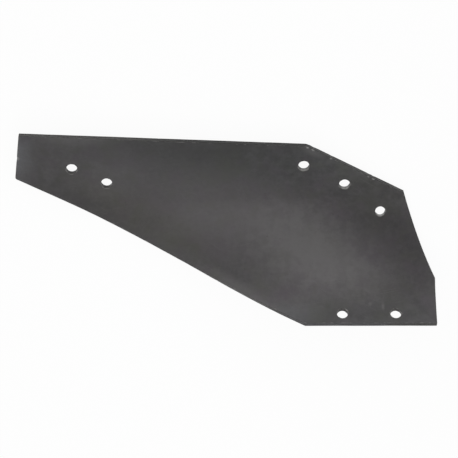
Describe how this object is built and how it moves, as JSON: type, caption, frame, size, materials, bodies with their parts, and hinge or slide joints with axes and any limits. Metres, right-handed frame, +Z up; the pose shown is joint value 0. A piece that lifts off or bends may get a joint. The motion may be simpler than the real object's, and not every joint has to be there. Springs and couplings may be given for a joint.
{
  "type": "plough mouldboard",
  "caption": "Curved steel plough mouldboard, with straight cut edges and a hollow shin, rolled, with bolt holes for its frog, share and tail stay.",
  "frame": {"origin": "under the middle of the bounding box, on the floor the plate lies on", "axes": "+X along the bend lines, from the tail to the shin; +Y across them, from the share edge to the top edge; +Z up, out of the concave working face, with the plate at rest on its convex back"},
  "size_m": [0.4962, 0.2366, 0.0754],
  "materials": {
    "mouldboard": "dark grey rolled plate, dull, with bare cut edges"
  },
  "bodies": {
    "root": {"mouldboard": "mouldboard"}
  },
  "joints": []
}
